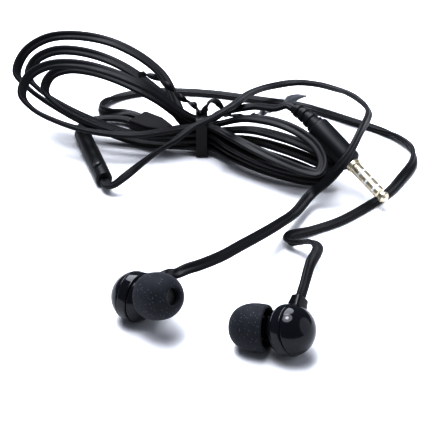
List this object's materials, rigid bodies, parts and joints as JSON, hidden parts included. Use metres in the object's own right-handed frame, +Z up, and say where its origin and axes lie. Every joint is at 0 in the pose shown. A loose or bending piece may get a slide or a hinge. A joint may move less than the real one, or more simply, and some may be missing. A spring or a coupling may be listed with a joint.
{
  "type": "wired earphones",
  "caption": "Wired in-ear headphones with an inline button pod, lying with the flat cord folded into a tied hank beside its plug.",
  "frame": {"origin": "on the resting surface, below the middle of the box round the earbuds", "axes": "+X from the left earbud to the right earbud, +Y from the earbuds towards the tied hank, +Z up from the resting surface"},
  "size_m": [0.1246, 0.1491, 0.0274],
  "materials": {
    "cord_jacket": "matt flat cord jacket with a groove along its middle",
    "silicone_tip": "matt silicone with fine dust",
    "soft_relief": "satin soft moulding",
    "steel_mesh": "fine woven mesh",
    "driver_plastic": "matt",
    "magnet_plating": "nickel plated",
    "diaphragm_film": "thin film",
    "circuit_board": "solder mask",
    "plug_metal": "pale gold plating, polished",
    "insulator_plastic": "matt white plastic",
    "tie_plastic": "satin plastic strip over wire",
    "microphone_can": "satin",
    "button_plastic": "matt",
    "moulded_body": "satin moulding",
    "housing_gloss": "gloss black"
  },
  "bodies": {
    "earphones": {"left_rear_cap": "housing_gloss", "left_mid_ring": "housing_gloss", "left_front_shell": "housing_gloss", "left_nozzle_screen": "steel_mesh", "left_driver_frame": "driver_plastic", "left_magnet": "magnet_plating", "left_diaphragm": "diaphragm_film", "left_solder_board": "circuit_board", "left_strain_relief": "soft_relief", "right_rear_cap": "housing_gloss", "right_mid_ring": "housing_gloss", "right_front_shell": "housing_gloss", "right_nozzle_screen": "steel_mesh", "right_driver_frame": "driver_plastic", "right_magnet": "magnet_plating", "right_diaphragm": "diaphragm_film", "right_solder_board": "circuit_board", "right_strain_relief": "soft_relief", "left_ear_cord": "cord_jacket", "left_lower_cord": "cord_jacket", "right_ear_cord": "cord_jacket", "cord_hank": "cord_jacket", "plug_lead": "cord_jacket", "y_splitter": "moulded_body", "pod_lower_shell": "moulded_body", "pod_upper_shell": "moulded_body", "pod_near_cap": "moulded_body", "pod_far_cap": "moulded_body", "pod_circuit_board": "circuit_board", "pod_microphone": "microphone_can", "plug_body": "moulded_body", "plug_strain_relief": "soft_relief", "plug_sleeve": "plug_metal", "plug_ring_2": "plug_metal", "plug_ring_1": "plug_metal", "plug_tip": "plug_metal", "plug_insulators": "insulator_plastic", "tie_band": "tie_plastic", "tie_tails": "tie_plastic"},
    "left_tip": {"left_eartip": "silicone_tip"},
    "right_tip": {"right_eartip": "silicone_tip"},
    "button": {"pod_button": "button_plastic"}
  },
  "joints": [
    {"name": "left_tip_slide", "type": "slide", "parent": "earphones", "child": "left_tip", "axis": [0.6723, -0.6179, 0.4077], "range_m": [0, 0.009]},
    {"name": "right_tip_slide", "type": "slide", "parent": "earphones", "child": "right_tip", "axis": [-0.9369, 0.3162, -0.1491], "range_m": [0, 0.009]},
    {"name": "button_press", "type": "slide", "parent": "earphones", "child": "button", "axis": [0.3271, 0.1, -0.9397], "range_m": [0, 0.0003], "stiffness_N_per_m": 400, "springref_m": -0.0002}
  ]
}
